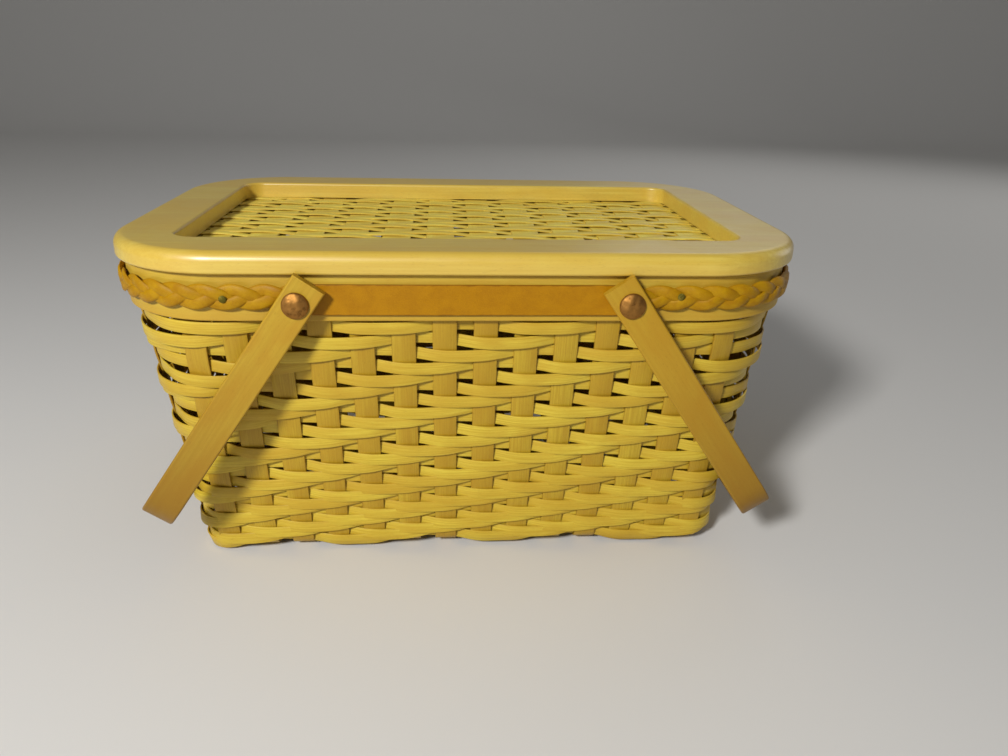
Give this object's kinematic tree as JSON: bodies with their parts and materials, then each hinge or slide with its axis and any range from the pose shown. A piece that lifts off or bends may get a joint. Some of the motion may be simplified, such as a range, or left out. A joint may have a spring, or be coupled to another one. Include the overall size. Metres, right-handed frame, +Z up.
{
  "type": "lidded splint basket",
  "caption": "Tapered rectangular picnic basket woven from flat wood splints, with a lift-off frame lid, leather rim trim and two riveted swing handles.",
  "frame": {"origin": "on the ground, under the middle of the basket", "axes": "+X along the basket's length to its right end, -Y to its front, +Z up"},
  "size_m": [0.356, 0.2556, 0.181],
  "materials": {
    "weaver_maple": "thin honey maple splint, satin varnish",
    "splint_maple": "honey maple stake, satin varnish",
    "rail_maple": "solid bent maple, satin varnish",
    "tan_leather": "tan harness leather, low sheen",
    "copper": "domed copper, aged"
  },
  "bodies": {
    "basket": {"weaver_01": "weaver_maple", "weaver_02": "weaver_maple", "weaver_03": "weaver_maple", "weaver_04": "weaver_maple", "weaver_05": "weaver_maple", "weaver_06": "weaver_maple", "weaver_07": "weaver_maple", "weaver_08": "weaver_maple", "weaver_09": "weaver_maple", "weaver_10": "weaver_maple", "weaver_11": "weaver_maple", "weaver_12": "weaver_maple", "weaver_13": "weaver_maple", "weaver_14": "weaver_maple", "weaver_15": "weaver_maple", "weaver_16": "weaver_maple", "weaver_17": "weaver_maple", "weaver_18": "weaver_maple", "weaver_19": "weaver_maple", "weaver_20": "weaver_maple", "weaver_21": "weaver_maple", "weaver_22": "weaver_maple", "weaver_23": "weaver_maple", "weaver_24": "weaver_maple", "cross_splint_01": "splint_maple", "cross_splint_02": "splint_maple", "cross_splint_03": "splint_maple", "cross_splint_04": "splint_maple", "cross_splint_05": "splint_maple", "cross_splint_06": "splint_maple", "cross_splint_07": "splint_maple", "cross_splint_08": "splint_maple", "cross_splint_09": "splint_maple", "cross_splint_10": "splint_maple", "cross_splint_11": "splint_maple", "cross_splint_12": "splint_maple", "cross_splint_13": "splint_maple", "cross_splint_14": "splint_maple", "long_splint_01": "splint_maple", "long_splint_02": "splint_maple", "long_splint_03": "splint_maple", "long_splint_04": "splint_maple", "long_splint_05": "splint_maple", "long_splint_06": "splint_maple", "long_splint_07": "splint_maple", "long_splint_08": "splint_maple", "inner_rim_band": "rail_maple", "outer_rim_band": "rail_maple", "front_leather_band": "tan_leather", "back_leather_band": "tan_leather", "left_braid": "tan_leather", "right_braid": "tan_leather", "front_left_rivet": "copper", "front_right_rivet": "copper", "back_left_rivet": "copper", "back_right_rivet": "copper"},
    "left_handle": {"left_handle": "rail_maple"},
    "right_handle": {"right_handle": "rail_maple"},
    "lid": {"lid_frame": "rail_maple", "lid_woven_panel": "weaver_maple"}
  },
  "joints": [
    {"name": "left_handle_swing", "type": "hinge", "parent": "basket", "child": "left_handle", "pos_m": [-0.07925, 0, 0.1572], "axis": [0, 1, 0], "range_deg": [0, 174.4]},
    {"name": "right_handle_swing", "type": "hinge", "parent": "basket", "child": "right_handle", "pos_m": [0.07925, 0, 0.1572], "axis": [0, -1, 0], "range_deg": [0, 174.4]},
    {"name": "lid_lift", "type": "slide", "parent": "basket", "child": "lid", "axis": [0, 0, 1], "range_m": [0, 0.06]}
  ]
}
